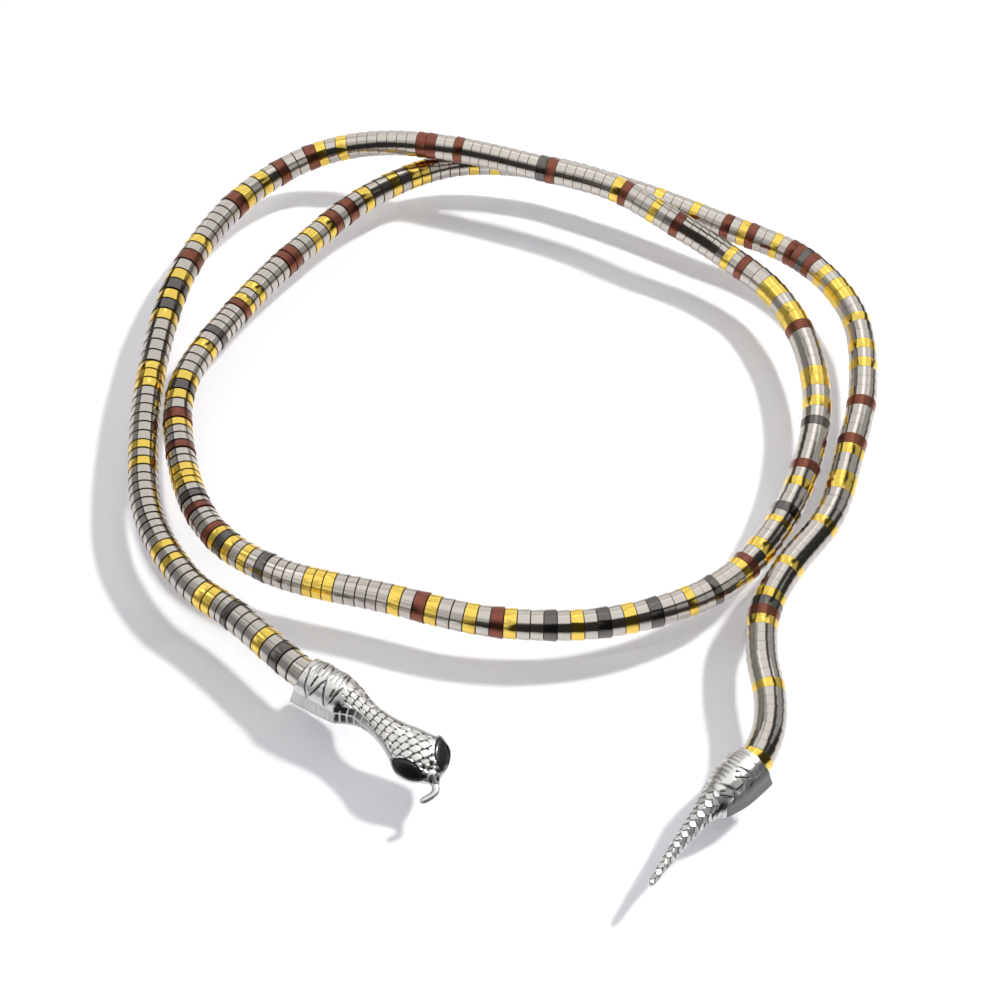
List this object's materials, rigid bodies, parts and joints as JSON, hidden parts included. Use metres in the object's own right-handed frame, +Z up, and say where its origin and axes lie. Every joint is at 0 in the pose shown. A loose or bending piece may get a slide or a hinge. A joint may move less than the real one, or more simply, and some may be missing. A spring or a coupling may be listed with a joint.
{
  "type": "snake necklace",
  "caption": "Bendable necklace laid in a double loop: a long chain of close metal rings with a cast snake's head with black eyes at one end and a scaled tail at the other.",
  "frame": {"origin": "middle of the outline of the laid-down necklace, on the surface that it lies on", "axes": "+Z up from the surface, +Y from the head and tail ends towards the place where the chain crosses itself"},
  "size_m": [0.1521, 0.1829, 0.0128],
  "materials": {
    "nickel_rings": "polished warm nickel plating with fine lines round each ring",
    "gold_rings": "polished yellow gold plating",
    "copper_rings": "satin red-brown copper",
    "gunmetal_rings": "polished dark gunmetal plating",
    "cast_metal": "satin antiqued cast silver-coloured metal, darker in its grooves",
    "eye_stone": "black stone with a soft gloss and fine specks"
  },
  "bodies": {
    "root": {"ring_chain": "nickel_rings", "head": "cast_metal", "left_eye": "eye_stone", "right_eye": "eye_stone", "tail": "cast_metal"}
  },
  "joints": []
}
